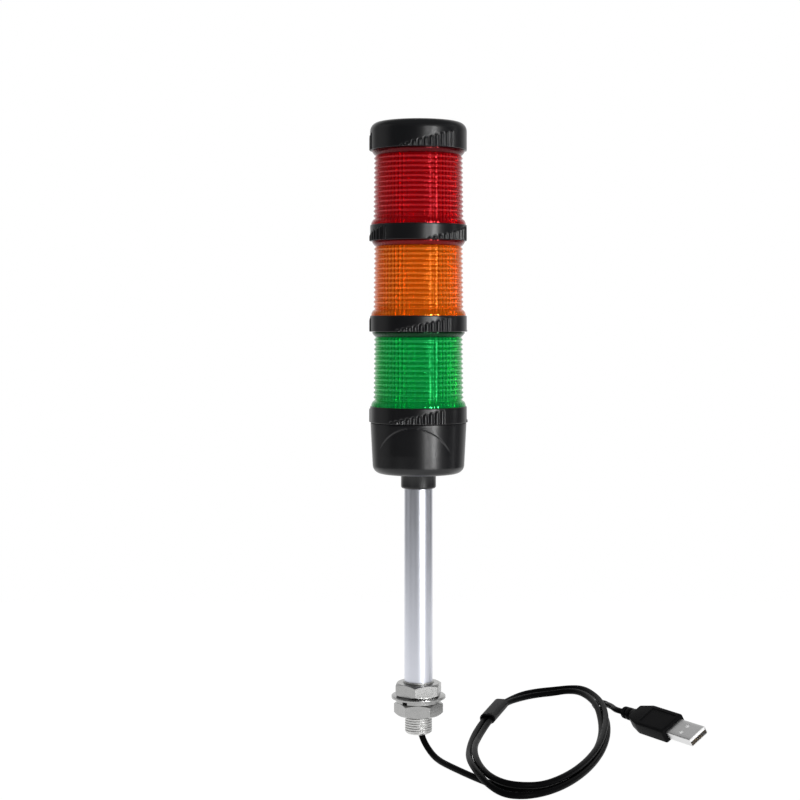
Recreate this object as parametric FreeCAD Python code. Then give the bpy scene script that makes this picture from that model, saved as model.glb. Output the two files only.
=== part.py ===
import FreeCAD, Part
import math
import os

# Stack light: three coloured lens modules on a base housing, a pole with a threaded end, and a thin lead
# with a type A plug. Millimetres, +Z up. The origin is on the pole's axis at the lower nut's underside,
# where the threaded end goes into a panel. The front is -Y.

V = FreeCAD.Vector
UP = V(0, 0, 1)
front_at = -90.0

# Heights, from the lower nut's underside upwards
thread_below_nut = 9.5
nut_height = 6.5
lock_washer_thickness = 2.0
flat_washer_thickness = 1.4
end_shoulder = 0.9
pole_shown = 99.0
neck_height = 7.8
housing_height = 26.0
ring_height = 8.2
lens_shown = 38.4
cap_height = 15.0

# Threaded end, nuts and washers
thread_radius = 7.0
thread_bore = 5.0
thread_chamfer = 0.8
relief_cut_low = 0.3
relief_cut_high = 1.1
relief_cut_depth = 0.4
end_shoulder_radius = 7.6
spigot_depth = 10.0
nut_across_flats = 22.0
nut_chamfer = 1.1
nut_face_step = 0.2
upper_nut_turn = 22.0
lower_nut_turn = -2.0
flat_washer_radius = 13.9
lock_washer_radius = 11.4
lock_washer_gap = 2.4
lock_washer_gap_at = -128.0

# Pole
pole_radius = 7.25
pole_wall = 1.0
pole_socket_depth = 14.0
socket_end = 2.0
socket_rib = 1.2

# Base housing
housing_top_radius = 24.7
housing_bottom_radius = 23.6
housing_corner = 4.5
housing_wall = 2.4
housing_cavity_corner = 1.5
housing_rim_step = 1.2
neck_radius = 9.0
neck_edge = 1.2
arch_floor_radius = 23.9
arch_width = 37.0
arch_height = 13.4
arch_drop = 3.8
arch_at = -10.0
boss_radius = 2.9
boss_circle = 13.5
boss_at = 30.0
insert_floor = 2.0
insert_hole = 4.0
board_ledge = 1.8
screw_radius = 1.25
screw_head_radius = 2.4
screw_head_height = 1.6
screw_length = 9.0
screw_slot = 0.7

# Steps in a rounded edge
corner_steps = 3

# Twist coupling between a module and what is below it
ring_radius = 24.9
ring_wall = 2.4
deck_height = 5.2
deck_thickness = 1.2
deck_opening = 10.0
collar_radius = 20.4
collar_wall = 1.5
lug_reach = 1.6
lug_root = 0.5
lug_thickness = 1.8
tab_lift = 0.6
stop_span = 4.0
unlock_turn = 25.0
unlock_spare = 5.0
seal_thickness = 0.5
blade_width = 1.2
blade_length = 2.4
blade_circles = (11.6, 13.5, 15.4, 17.3)

# Grip ribs that rise from left to right on the cap and rings
rib_count = 10
rib_groups = 3
rib_pitch = 7.0
rib_width = 1.6
rib_proud = 0.45
rib_top = 0.5
rib_foot = 0.6
rib_lowest = 1.0
rib_highest = 7.2
cap_rib_highest = 8.6
cap_rib_at = 46.0
red_rib_at = -44.0
amber_rib_at = 38.0
green_rib_at = 29.0

# Lens
lens_top_radius = 22.8
lens_bottom_radius = 23.2
lens_flange_radius = 23.9
lens_flange_height = 2.7
lens_skirt_radius = 24.4
lens_skirt_height = 3.4
lens_rib_count = 13
lens_groove = 0.6
lens_bore = 20.6
lens_lip = 20.3
lens_skirt_step = 0.5
lens_flange_edge = 0.6
flute_count = 36
flute_depth = 0.6
flute_end = 1.0
lens_top_wall = 1.6

# Light column and boards inside each module
column_across_flats = 24.0
column_wall = 1.6
led_size = 5.0
led_thickness = 1.4
led_rows = 3
board_thickness = 1.2
board_radius = 18.4
board_lift = 3.0

# Cap
cap_radius = 24.9
cap_edge = 4.5
cap_dome = 0.7
cap_wall = 2.0

# Clearances
twist_gap = 0.2
slide_fit = 0.05
loose_fit = 0.3
collar_gap = 0.5
stop_gap_turn = 0.6
contact_gap = 0.3

# Lead, loop and plug
cord_radius = 1.6
floor_below_thread = 11.0
loop_inner_long = 102.0
loop_outer_long = 111.2
loop_inner_short = 31.7
loop_outer_short = 35.0
loop_inner_centre = (64.8, 28.3)
loop_outer_centre = (65.0, 29.5)
loop_tilt = 80.0
loop_layers = 2
tie_length = 38.0
tie_width = 8.6
tie_height = 5.4
tie_wall = 0.8
tie_centre = (42.8, 81.2)
tie_heading = 75.6
plug_width = 16.0
plug_thickness = 8.0
plug_length = 32.5
plug_corner = 1.6
plug_shoulder = 3.0
plug_shoulder_length = 9.0
plug_panel_depth = 0.5
plug_panel_back = 3.0
plug_panel_margin = 2.5
relief_rear_radius = 3.3
relief_front_radius = 3.9
relief_length = 10.0
relief_grooves = 2
relief_ring = 2.6
relief_groove_width = 1.2
relief_groove_depth = 0.9
shell_width = 12.0
shell_thickness = 4.5
shell_length = 18.8
shell_wall = 0.35
shell_root = 4.0
shell_hole = 2.4
shell_hole_at = 0.42
shell_hole_offset = 2.5
tongue_set_back = 0.6
contact_width = 1.0
contact_set_back = 2.0
contact_thickness = 0.2
contact_pitch = 2.3
tongue_thickness = 1.8
plug_heading = -59.0
plug_lean = 60.0
plug_lift = 6.9
plug_start = (113.9, 60.2)

# Levels worked out from the heights
lock_washer_z = nut_height
flat_washer_z = lock_washer_z + lock_washer_thickness
upper_nut_z = flat_washer_z + flat_washer_thickness
shoulder_z = upper_nut_z + nut_height
pole_z = shoulder_z + end_shoulder
neck_z = pole_z + pole_shown
housing_z = neck_z + neck_height
green_z = housing_z + housing_height + twist_gap
module_pitch = ring_height + lens_shown
amber_z = green_z + module_pitch
red_z = amber_z + module_pitch
cap_z = red_z + module_pitch
floor_z = -thread_below_nut - floor_below_thread
cord_z = floor_z + cord_radius

# Radii and levels of the twist coupling, measured from the ring's lower edge
ring_bore = ring_radius - ring_wall
lug_radius = collar_radius + lug_reach
lug_span = unlock_turn - unlock_spare
tab_radius = collar_radius + collar_gap
tab_top = tab_lift + lug_thickness
lug_bottom = tab_top + twist_gap
lug_top = lug_bottom + lug_thickness
collar_top = deck_height - loose_fit
collar_bore = collar_radius - collar_wall
deck_top = deck_height + deck_thickness


def save(name, shape):
    shape.exportStep("parts/" + name + ".step")
    print(name, round(shape.Volume, 1), "mm3", len(shape.Solids), "solids", len(shape.Faces), "faces")


def turned(points):
    """A solid turned about the Z axis from (radius, height) points."""
    wire = Part.makePolygon([V(r, 0, z) for r, z in points + points[:1]])
    return Part.Face(wire).revolve(V(0, 0, 0), UP, 360)


def tube(outer, inner, low, high):
    solid = Part.makeCylinder(outer, high - low, V(0, 0, low))
    return solid.cut(Part.makeCylinder(inner, high - low, V(0, 0, low)))


def sector(inner, outer, low, high, start, span):
    """A block of a ring from the angle start over span degrees."""
    corners = [V(inner, 0, low), V(outer, 0, low), V(outer, 0, high), V(inner, 0, high), V(inner, 0, low)]
    block = Part.Face(Part.makePolygon(corners)).revolve(V(0, 0, 0), UP, span)
    block.rotate(V(0, 0, 0), UP, start)
    return block


def boss_places(z):
    """The three screw places in the base, at the height z."""
    places = []
    for k in range(3):
        a = math.radians(120 * k + boss_at)
        places.append(V(boss_circle * math.cos(a), boss_circle * math.sin(a), z))
    return places


def three_times(shape):
    copies = []
    for k in range(3):
        copy = shape.copy()
        copy.rotate(V(0, 0, 0), UP, 120 * k)
        copies.append(copy)
    return copies


def fused(shapes):
    return shapes[0].multiFuse(shapes[1:]).removeSplitter()


def prism(across_flats, low, high, turn=0.0):
    corner = across_flats / 2 / math.cos(math.radians(30))
    points = []
    for k in range(7):
        a = math.radians(60 * k + turn)
        points.append(V(corner * math.cos(a), corner * math.sin(a), low))
    return Part.Face(Part.makePolygon(points)).extrude(V(0, 0, high - low))


def grip_ribs(radius, low, tallest, tallest_at):
    """Round-topped ribs in three groups that grow towards the tallest, which stands at the given place."""
    ribs = []
    for group in range(rib_groups):
        for k in range(rib_count):
            height = tallest - (tallest - rib_lowest) * k / (rib_count - 1)
            half = rib_width / 2
            straight = height - rib_top
            corners = [
                V(-half, 0, 0),
                V(half, 0, 0),
                V(half, 0, straight),
                V(half - rib_top, 0, height),
                V(rib_top - half, 0, height),
                V(-half, 0, straight),
                V(-half, 0, 0),
            ]
            rib = Part.Face(Part.makePolygon(corners)).extrude(V(0, -rib_foot - rib_proud, 0))
            rib.translate(V(0, -radius + rib_foot, low))
            rib.rotate(V(0, 0, 0), UP, tallest_at - rib_pitch * k + 360 / rib_groups * group)
            ribs.append(rib)
    return ribs


def coupling_lugs(base):
    """Three lugs with end stops that stand out from the collar below a ring."""
    inner = collar_radius - lug_root
    stop_start = front_at - lug_span / 2 - stop_gap_turn - stop_span
    reach = stop_span + stop_gap_turn + lug_span
    lug = sector(inner, lug_radius, base + lug_bottom, base + lug_top, stop_start, reach)
    stop = sector(inner, lug_radius, base + tab_lift, base + lug_top, stop_start, stop_span)
    return three_times(fused([lug, stop]))


def coupling_tabs(base):
    """Three tabs inside the ring that turn in under the lugs."""
    start = front_at - lug_span / 2
    tab = sector(tab_radius, ring_bore + lug_root, base + tab_lift, base + tab_top, start, lug_span)
    return three_times(tab)


def make_threaded_end():
    outline = [
        (thread_bore, -thread_below_nut),
        (thread_radius - thread_chamfer, -thread_below_nut),
        (thread_radius, -thread_below_nut + thread_chamfer),
        (thread_radius, relief_cut_low),
        (thread_radius - relief_cut_depth, relief_cut_low),
        (thread_radius - relief_cut_depth, relief_cut_high),
        (thread_radius, relief_cut_high),
        (thread_radius, shoulder_z),
        (end_shoulder_radius, shoulder_z),
        (end_shoulder_radius, pole_z),
        (pole_radius - pole_wall - slide_fit, pole_z),
        (pole_radius - pole_wall - slide_fit, pole_z + spigot_depth),
        (thread_bore, pole_z + spigot_depth),
    ]
    return turned(outline)


def make_nut(low, turn):
    high = low + nut_height
    corner = nut_across_flats / 2 / math.cos(math.radians(30))
    flat = nut_across_flats / 2 - nut_face_step
    rise = (corner - flat) * math.tan(math.radians(30))
    envelope = turned([
        (0, low),
        (flat, low),
        (corner, low + rise),
        (corner, high - rise),
        (flat, high),
        (0, high),
    ])
    bore = thread_radius + slide_fit
    mouth = bore + nut_chamfer
    hole = turned([
        (0, low),
        (mouth, low),
        (bore, low + nut_chamfer),
        (bore, high - nut_chamfer),
        (mouth, high),
        (0, high),
    ])
    return prism(nut_across_flats, low, high, turn).common(envelope).cut(hole)


def make_lock_washer():
    low = lock_washer_z
    ring = tube(lock_washer_radius, thread_radius + loose_fit, low, low + lock_washer_thickness)
    slot = Part.makeBox(lock_washer_radius, lock_washer_gap, lock_washer_thickness,
                        V(thread_radius - 1, -lock_washer_gap / 2, low))
    slot.rotate(V(0, 0, 0), UP, lock_washer_gap_at)
    return ring.cut(slot)


def make_pole():
    return tube(pole_radius, pole_radius - pole_wall, pole_z, neck_z + pole_socket_depth)


def arch_recess():
    """The shallow arch in the housing's front. Its upright floor fades out down the tapered side."""
    crown = housing_z + housing_height - arch_drop
    foot = crown - arch_height
    half = arch_width / 2
    below = foot - 2
    outline = Part.Wire([
        Part.Arc(V(-half, 0, foot), V(0, 0, crown), V(half, 0, foot)).toShape(),
        Part.LineSegment(V(half, 0, foot), V(half, 0, below)).toShape(),
        Part.LineSegment(V(half, 0, below), V(-half, 0, below)).toShape(),
        Part.LineSegment(V(-half, 0, below), V(-half, 0, foot)).toShape(),
    ])
    block = Part.Face(outline).extrude(V(0, -2 * housing_top_radius, 0))
    core = Part.makeCylinder(arch_floor_radius, crown - below, V(0, 0, below))
    recess = block.cut(core)
    recess.rotate(V(0, 0, 0), UP, arch_at)
    return recess


def rounded_corner(centre_r, centre_z, size, start, end):
    """Points of a rounded edge in a turned outline, from the angle start to end."""
    points = []
    for k in range(corner_steps + 1):
        a = math.radians(start + (end - start) * k / corner_steps)
        points.append((centre_r + size * math.cos(a), centre_z + size * math.sin(a)))
    return points


def make_housing():
    top = housing_z + housing_height
    low = housing_z
    r = housing_bottom_radius
    lower_edge = rounded_corner(r - housing_corner, low + housing_corner, housing_corner, -90, 0)
    body = turned([
        (0, neck_z),
        (neck_radius - neck_edge, neck_z),
        (neck_radius, neck_z + neck_edge),
        (neck_radius, low),
    ] + lower_edge + [
        (housing_top_radius, top),
        (0, top),
    ])
    rim_bore = housing_top_radius - housing_wall
    seat = top - insert_floor
    cavity_floor = low + housing_wall
    body = body.cut(Part.makeCylinder(rim_bore, insert_floor, V(0, 0, seat)))
    cavity = turned([
        (0, cavity_floor),
        (r - housing_wall - housing_cavity_corner, cavity_floor),
        (r - housing_wall, cavity_floor + housing_cavity_corner),
        (rim_bore - housing_rim_step, seat),
        (0, seat),
    ])
    post_height = seat - cavity_floor
    posts = [Part.makeCylinder(boss_radius, post_height, place) for place in boss_places(cavity_floor)]
    socket_height = neck_z + pole_socket_depth + socket_end - cavity_floor
    socket_wall = Part.makeCylinder(neck_radius + socket_rib, socket_height, V(0, 0, cavity_floor))
    body = body.cut(cavity.cut(socket_wall).cut(Part.makeCompound(posts)))
    body = body.cut(Part.makeCylinder(pole_radius + slide_fit, pole_socket_depth, V(0, 0, neck_z)))
    body = body.cut(Part.makeCylinder(thread_bore, top - neck_z, V(0, 0, neck_z)))
    for place in boss_places(seat - screw_length):
        body = body.cut(Part.makeCylinder(screw_radius + slide_fit, screw_length, place))
    return body.cut(arch_recess())


def make_insert():
    """The contact carrier in the mouth of the housing, with the collar that the first module locks on to."""
    low = green_z - twist_gap - insert_floor
    plate_radius = housing_top_radius - housing_wall - slide_fit
    ledge = collar_bore - board_ledge
    plate = turned([
        (insert_hole, low),
        (plate_radius, low),
        (plate_radius, low + insert_floor),
        (collar_radius, low + insert_floor),
        (collar_radius, green_z + collar_top),
        (collar_bore, green_z + collar_top),
        (collar_bore, green_z + board_lift),
        (ledge, green_z + board_lift),
        (ledge, low + insert_floor),
        (insert_hole, low + insert_floor),
    ])
    holes = [Part.makeCylinder(screw_radius + loose_fit, insert_floor, place) for place in boss_places(low)]
    return fused([plate] + coupling_lugs(green_z)).cut(Part.makeCompound(holes))


def make_screws():
    screws = []
    for seat in boss_places(green_z - twist_gap):
        shank = Part.makeCylinder(screw_radius, screw_length, seat - V(0, 0, screw_length))
        head = Part.makeCylinder(screw_head_radius, screw_head_height, seat)
        corner = seat + V(-screw_head_radius, -screw_slot / 2, screw_head_height - screw_slot)
        slot = Part.makeBox(2 * screw_head_radius, screw_slot, screw_slot, corner)
        screws.append(shank.fuse(head).removeSplitter().cut(slot))
    return Part.makeCompound(screws)


def make_seal(base):
    low = base - twist_gap
    return tube(ring_bore - loose_fit, collar_radius + slide_fit, low, low + seal_thickness)


def make_board(base):
    return Part.makeCylinder(board_radius, board_thickness, V(0, 0, base + board_lift))


def make_ring(base, rib_at):
    outline = [
        (ring_bore, base),
        (ring_radius, base),
        (ring_radius, base + ring_height),
        (ring_bore, base + ring_height),
        (ring_bore, base + deck_top),
        (deck_opening, base + deck_top),
        (deck_opening, base + deck_height),
        (ring_bore, base + deck_height),
    ]
    ribs = grip_ribs(ring_radius, base, rib_highest, rib_at)
    body = fused([turned(outline)] + coupling_tabs(base) + ribs)
    return body.cut(contact_blades(base + deck_height, base + deck_top, slide_fit))


def contact_blades(low, high, spare):
    """Four upright blades side by side, one over each track of the board below."""
    width = blade_width + 2 * spare
    length = blade_length + 2 * spare
    blades = []
    for circle in blade_circles:
        blades.append(Part.makeBox(length, width, high - low, V(-length / 2, -circle - width / 2, low)))
    return Part.makeCompound(blades)


def make_contacts(base):
    return contact_blades(base + board_lift + board_thickness + contact_gap, base + deck_top, 0)


def lens_outline(base):
    """Outer profile of a lens from its foot in the ring up to its top shoulder."""
    foot = base + deck_top
    skirt = base + ring_height
    top = base + module_pitch - twist_gap
    ribs_low = skirt + lens_skirt_height
    ribs_high = top - lens_flange_height
    pitch = (ribs_high - ribs_low) / lens_rib_count
    points = [
        (ring_bore - loose_fit, foot),
        (ring_bore - loose_fit, skirt),
        (lens_skirt_radius, skirt),
        (lens_skirt_radius - lens_skirt_step, skirt + 0.4 * lens_skirt_height),
        (lens_bottom_radius - lens_groove, ribs_low),
    ]
    for k in range(lens_rib_count):
        share = (k + 0.5) / lens_rib_count
        crest = lens_bottom_radius + (lens_top_radius - lens_bottom_radius) * share
        low = ribs_low + pitch * k
        points.append((crest, low + pitch / 2))
        points.append((crest - lens_groove, low + pitch))
    points.append((lens_flange_radius, top - lens_flange_edge))
    points.append((lens_flange_radius, top))
    return points


def make_lens(base):
    top = base + module_pitch - twist_gap
    next_base = base + module_pitch
    outline = lens_outline(base) + [
        (collar_radius, top),
        (collar_radius, next_base + collar_top),
        (collar_bore, next_base + collar_top),
        (collar_bore, top - lens_top_wall),
        (lens_lip, top - lens_top_wall),
        (lens_lip, base + deck_top),
    ]
    return fused([turned(outline)] + coupling_lugs(next_base)).cut(flute_cutter(base))


def flute_cutter(base):
    """A star-shaped core whose points leave the prism flutes in the lens's bore."""
    low = base + deck_top
    high = base + module_pitch - twist_gap - lens_top_wall - flute_end
    points = []
    for k in range(flute_count):
        for r, shift in ((lens_bore, 0.0), (lens_bore + flute_depth, 0.5)):
            a = 2 * math.pi * (k + shift) / flute_count
            points.append(V(r * math.cos(a), r * math.sin(a), low))
    points.append(points[0])
    return Part.Face(Part.makePolygon(points)).extrude(V(0, 0, high - low))


def make_column(base):
    low = base + deck_top
    high = base + module_pitch + board_lift
    return prism(column_across_flats, low, high).cut(prism(column_across_flats - 2 * column_wall, low, high))


def make_leds(base):
    low = base + deck_top
    spacing = lens_shown / (led_rows + 0.5)
    chips = []
    for face in range(6):
        for row in range(led_rows):
            middle = low + spacing * (row + 0.75)
            chip = Part.makeBox(led_thickness, led_size, led_size,
                                V(column_across_flats / 2, -led_size / 2, middle - led_size / 2))
            chip.rotate(V(0, 0, 0), UP, 60 * face + 30)
            chips.append(chip)
    return Part.makeCompound(chips)


def make_cap():
    top = cap_z + cap_height
    shoulder = top - cap_edge - cap_dome
    flat_r = cap_radius - cap_edge
    upper_edge = rounded_corner(flat_r, shoulder, cap_edge, 0, 90)
    body = turned([
        (0, cap_z),
        (cap_radius, cap_z),
    ] + upper_edge + [
        (flat_r / 2, top - cap_dome / 4),
        (0, top),
    ])
    hollow = turned([
        (0, cap_z),
        (ring_bore, cap_z),
        (ring_bore, top - cap_dome - cap_wall),
        (0, top - cap_dome - cap_wall),
    ])
    ribs = grip_ribs(cap_radius, cap_z, cap_rib_highest, cap_rib_at)
    return fused([body.cut(hollow)] + coupling_tabs(cap_z) + ribs)


def rounded_path(points):
    """Straight runs joined by tangent arcs, each as large as its two runs allow."""
    pieces = []
    at = points[0]
    radii = []
    for before, corner, after in zip(points, points[1:], points[2:]):
        back = (before - corner).normalize()
        ahead = (after - corner).normalize()
        turn = math.pi - back.getAngle(ahead)
        cut = 0.45 * min((corner - before).Length, (after - corner).Length)
        radius = cut / math.tan(turn / 2)
        radii.append(round(radius, 1))
        start = corner + back * cut
        end = corner + ahead * cut
        toward = (back + ahead).normalize()
        middle = corner + toward * (radius / math.cos(turn / 2) - radius)
        pieces.append(Part.LineSegment(at, start).toShape())
        pieces.append(Part.Arc(start, middle, end).toShape())
        at = end
    pieces.append(Part.LineSegment(at, points[-1]).toShape())
    print("  arc radii", radii)
    return Part.Wire(pieces)


def cord_tube(name, points):
    path = rounded_path(points)
    heading = (points[1] - points[0]).normalize()
    section = Part.Wire(Part.makeCircle(cord_radius, points[0], heading))
    solid = path.makePipeShell([section], True, False)
    expected = math.pi * cord_radius ** 2 * path.Length
    print(" ", name, "length", round(path.Length, 1), "volume share", round(solid.Volume / expected, 4))
    return solid


def loop_oval(share, side):
    """The loop's tilted oval, from the innermost strand at share 0 to the outermost at 1."""
    long = loop_inner_long + (loop_outer_long - loop_inner_long) * share + side
    short = loop_inner_short + (loop_outer_short - loop_inner_short) * share + side
    x = loop_inner_centre[0] + (loop_outer_centre[0] - loop_inner_centre[0]) * share
    y = loop_inner_centre[1] + (loop_outer_centre[1] - loop_inner_centre[1]) * share
    tilt = math.radians(loop_tilt)
    major = V(math.cos(tilt), math.sin(tilt), 0)
    minor = V(-math.sin(tilt), math.cos(tilt), 0)
    return V(x, y, 0), major * long, minor * short


def oval_solid(share, side, low, high):
    centre, major, minor = loop_oval(share, side)
    centre.z = low
    oval = Part.Ellipse(centre + major, centre + minor, centre)
    return Part.Face(Part.Wire(oval.toShape())).extrude(V(0, 0, high - low))


def tie_shape(shape):
    """Lays a shape that was built along +X on to the floor at the tie's place."""
    shape.rotate(V(0, 0, 0), UP, tie_heading)
    shape.translate(V(tie_centre[0], tie_centre[1], floor_z))
    return shape


def tie_bar(width, height, lift, length):
    """A bar with round sides along +X, centred on the origin."""
    r = height / 2
    half = width / 2 - r
    outline = Part.Wire([
        Part.LineSegment(V(0, -half, lift), V(0, half, lift)).toShape(),
        Part.Arc(V(0, half, lift), V(0, half + r, lift + r), V(0, half, lift + height)).toShape(),
        Part.LineSegment(V(0, half, lift + height), V(0, -half, lift + height)).toShape(),
        Part.Arc(V(0, -half, lift + height), V(0, -half - r, lift + r), V(0, -half, lift)).toShape(),
    ])
    bar = Part.Face(outline).extrude(V(length, 0, 0))
    bar.translate(V(-length / 2, 0, 0))
    return bar


def make_tie():
    outside = tie_bar(tie_width, tie_height, 0, tie_length)
    inside = tie_bar(tie_width - 2 * tie_wall, tie_height - 2 * tie_wall, tie_wall, tie_length)
    return tie_shape(outside.cut(inside))


def make_coil():
    """The outer shape of the loop, drawn in to the tie's bore along the tie."""
    high = floor_z + 2 * cord_radius * loop_layers
    outer = oval_solid(1.0, cord_radius, floor_z, high)
    ring = outer.cut(oval_solid(0.0, -cord_radius, floor_z, high))
    room = 4 * tie_width
    gap = Part.makeBox(tie_length, room, high - floor_z + 1, V(-tie_length / 2, -room / 2, 0))
    strands = tie_bar(tie_width - 2 * tie_wall, tie_height - 2 * tie_wall, tie_wall, tie_length)
    return fused([ring.cut(tie_shape(gap)), tie_shape(strands)])


def plug_place(shape):
    """Lays a shape built along +X, with its width along Z, on its lower edge at the plug's place."""
    shape.rotate(V(0, 0, 0), V(1, 0, 0), -plug_lean)
    shape.rotate(V(0, 0, 0), UP, plug_heading)
    shape.translate(V(plug_start[0], plug_start[1], floor_z + plug_lift))
    return shape


def box_about_x(low, high, width, thickness, side=0.0):
    """A block along X from low to high, its thickness along Y and its width along Z."""
    return Part.makeBox(high - low, thickness, width, V(low, side - thickness / 2, -width / 2))


def make_plug_body():
    front = relief_length + plug_length
    block = box_about_x(relief_length, front, plug_width, plug_thickness)
    long_edges = [e for e in block.Edges if abs(e.tangentAt(e.FirstParameter).x) > 0.9]
    block = block.makeFillet(plug_corner, long_edges)
    rear = relief_length
    for sign in (-1, 1):
        edge = sign * (plug_width / 2 - plug_shoulder)
        outside = sign * (plug_width / 2 + 1)
        corners = [
            (rear, edge),
            (rear + plug_shoulder_length, sign * plug_width / 2),
            (rear + plug_shoulder_length, outside),
            (rear - 1, outside),
            (rear - 1, edge),
            (rear, edge),
        ]
        slope = Part.makePolygon([V(x, -plug_thickness, z) for x, z in corners])
        block = block.cut(Part.Face(slope).extrude(V(0, 2 * plug_thickness, 0)))
    panel_start = rear + plug_length * 0.3
    for sign in (-1, 1):
        panel = box_about_x(panel_start, front - plug_panel_back,
                            plug_width - 2 * plug_panel_margin, plug_panel_depth,
                            sign * (plug_thickness - plug_panel_depth) / 2)
        block = block.cut(panel)
    outline = [(0, 0), (0, relief_rear_radius)]
    for k in range(relief_grooves):
        at = relief_ring * (k + 1) + relief_groove_width * k
        outline.append((at, relief_rear_radius))
        outline.append((at, relief_rear_radius - relief_groove_depth))
        outline.append((at + relief_groove_width, relief_rear_radius - relief_groove_depth))
        outline.append((at + relief_groove_width, relief_rear_radius))
    outline.append((relief_length + 1, relief_front_radius))
    outline.append((relief_length + 1, 0))
    wire = Part.makePolygon([V(x, r, 0) for x, r in outline + outline[:1]])
    relief = Part.Face(wire).revolve(V(0, 0, 0), V(1, 0, 0), 360)
    body = block.fuse(relief).removeSplitter()
    root = box_about_x(front - shell_root, front, shell_width, shell_thickness)
    return plug_place(body.cut(root))


def make_plug_shell():
    front = relief_length + plug_length
    end = front + shell_length
    shell = box_about_x(front - shell_root, end, shell_width, shell_thickness)
    inside = box_about_x(front - shell_root, end,
                         shell_width - 2 * shell_wall, shell_thickness - 2 * shell_wall)
    shell = shell.cut(inside)
    for side in (-1, 1):
        across = side * shell_hole_offset - shell_hole / 2
        corner = V(front + shell_length * shell_hole_at, -shell_thickness, across)
        hole = Part.makeBox(shell_hole, 2 * shell_thickness, shell_hole, corner)
        shell = shell.cut(hole)
    return plug_place(shell)


def make_plug_tongue():
    front = relief_length + plug_length
    inside = shell_thickness / 2 - shell_wall
    end = front + shell_length - tongue_set_back
    tongue = box_about_x(front - shell_root, end, shell_width - 2 * shell_wall,
                         tongue_thickness, tongue_thickness / 2 - inside)
    return plug_place(tongue)


def make_plug_contacts():
    front = relief_length + plug_length
    tongue_face = shell_wall + tongue_thickness - shell_thickness / 2
    strips = []
    for k in range(4):
        across = contact_pitch * (k - 1.5) - contact_width / 2
        strip = Part.makeBox(shell_length - contact_set_back, contact_thickness, contact_width,
                             V(front, tongue_face, across))
        strips.append(strip)
    return plug_place(Part.makeCompound(strips))


lead_points = [
    V(0.0, 0.0, 9.0),
    V(0.0, 0.0, -2.5),
    V(1.6, -1.8, -11.2),
    V(5.2, -7.0, -16.6),
    V(9.0, -15.5, cord_z),
    V(14.0, -27.0, cord_z),
    V(29.0, -53.0, cord_z),
]

tail_points = [
    V(101.0, 109.1, cord_z),
    V(105.1, 109.1, cord_z),
    V(107.2, 107.0, cord_z),
    V(107.2, 104.0, cord_z + 0.2),
    V(107.5, 98.0, cord_z + 1.1),
    V(108.3, 90.0, cord_z + 2.4),
    V(109.4, 81.0, cord_z + 3.4),
    V(109.6, 72.0, cord_z + 4.4),
    V(110.8, 65.4, cord_z + 5.1),
    V(plug_start[0], plug_start[1], floor_z + plug_lift),
]

parts = {
    "threaded_end": make_threaded_end(),
    "lower_nut": make_nut(0.0, lower_nut_turn),
    "lock_washer": make_lock_washer(),
    "flat_washer": tube(flat_washer_radius, thread_radius + loose_fit, flat_washer_z, upper_nut_z),
    "upper_nut": make_nut(upper_nut_z, upper_nut_turn),
    "pole": make_pole(),
    "base_housing": make_housing(),
    "base_insert": make_insert(),
    "base_screws": make_screws(),
    "base_board": make_board(green_z),
    "base_seal": make_seal(green_z),
    "top_cap": make_cap(),
}
modules = (
    ("green", green_z, green_rib_at),
    ("amber", amber_z, amber_rib_at),
    ("red", red_z, red_rib_at),
)
for colour, base, rib_at in modules:
    parts[colour + "_ring"] = make_ring(base, rib_at)
    parts[colour + "_lens"] = make_lens(base)
    parts[colour + "_column"] = make_column(base)
    parts[colour + "_leds"] = make_leds(base)
    parts[colour + "_board"] = make_board(base + module_pitch)
    parts[colour + "_contacts"] = make_contacts(base)
    parts[colour + "_seal"] = make_seal(base + module_pitch)
cable_top = green_z + board_lift
parts["inner_cable"] = Part.makeCylinder(cord_radius, cable_top - lead_points[0].z, lead_points[0])
coil = make_coil()
parts["cable_coil"] = coil
parts["cable_lead"] = cord_tube("cable_lead", lead_points).cut(coil)
plug_body = make_plug_body()
parts["cable_tail"] = cord_tube("cable_tail", tail_points).cut(coil).cut(plug_body)
parts["coil_tie"] = make_tie()
parts["plug_body"] = plug_body
parts["plug_shell"] = make_plug_shell()
parts["plug_tongue"] = make_plug_tongue()
parts["plug_contacts"] = make_plug_contacts()

os.makedirs("parts", exist_ok=True)
for name, shape in parts.items():
    save(name, shape)
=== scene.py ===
import bpy
import bmesh
import math
from mathutils import Matrix, Vector


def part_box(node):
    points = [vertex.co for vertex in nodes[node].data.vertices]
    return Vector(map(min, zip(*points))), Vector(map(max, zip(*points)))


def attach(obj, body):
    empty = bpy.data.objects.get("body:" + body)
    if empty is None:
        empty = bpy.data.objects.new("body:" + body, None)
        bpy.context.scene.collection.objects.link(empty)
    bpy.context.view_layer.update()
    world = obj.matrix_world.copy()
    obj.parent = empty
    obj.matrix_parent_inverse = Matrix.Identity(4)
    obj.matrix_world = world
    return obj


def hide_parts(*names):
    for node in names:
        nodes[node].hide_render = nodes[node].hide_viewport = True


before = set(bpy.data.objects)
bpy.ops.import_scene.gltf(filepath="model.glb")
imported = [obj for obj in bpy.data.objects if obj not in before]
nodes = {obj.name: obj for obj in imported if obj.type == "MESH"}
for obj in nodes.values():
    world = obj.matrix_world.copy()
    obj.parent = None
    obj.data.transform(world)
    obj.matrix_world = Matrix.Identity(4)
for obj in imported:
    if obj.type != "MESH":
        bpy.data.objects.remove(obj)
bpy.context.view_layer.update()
print("frame loaded with", len(nodes), "nodes")

mm = 0.001
floorZ = -20.5

# levels of the modules in millimetres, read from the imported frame
levels = {}
for colour in ("green", "amber", "red"):
    levels[colour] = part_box(colour + "_ring")[0].z / mm
levels["cap"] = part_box("top_cap")[0].z / mm
modulePitch = levels["amber"] - levels["green"]


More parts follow.
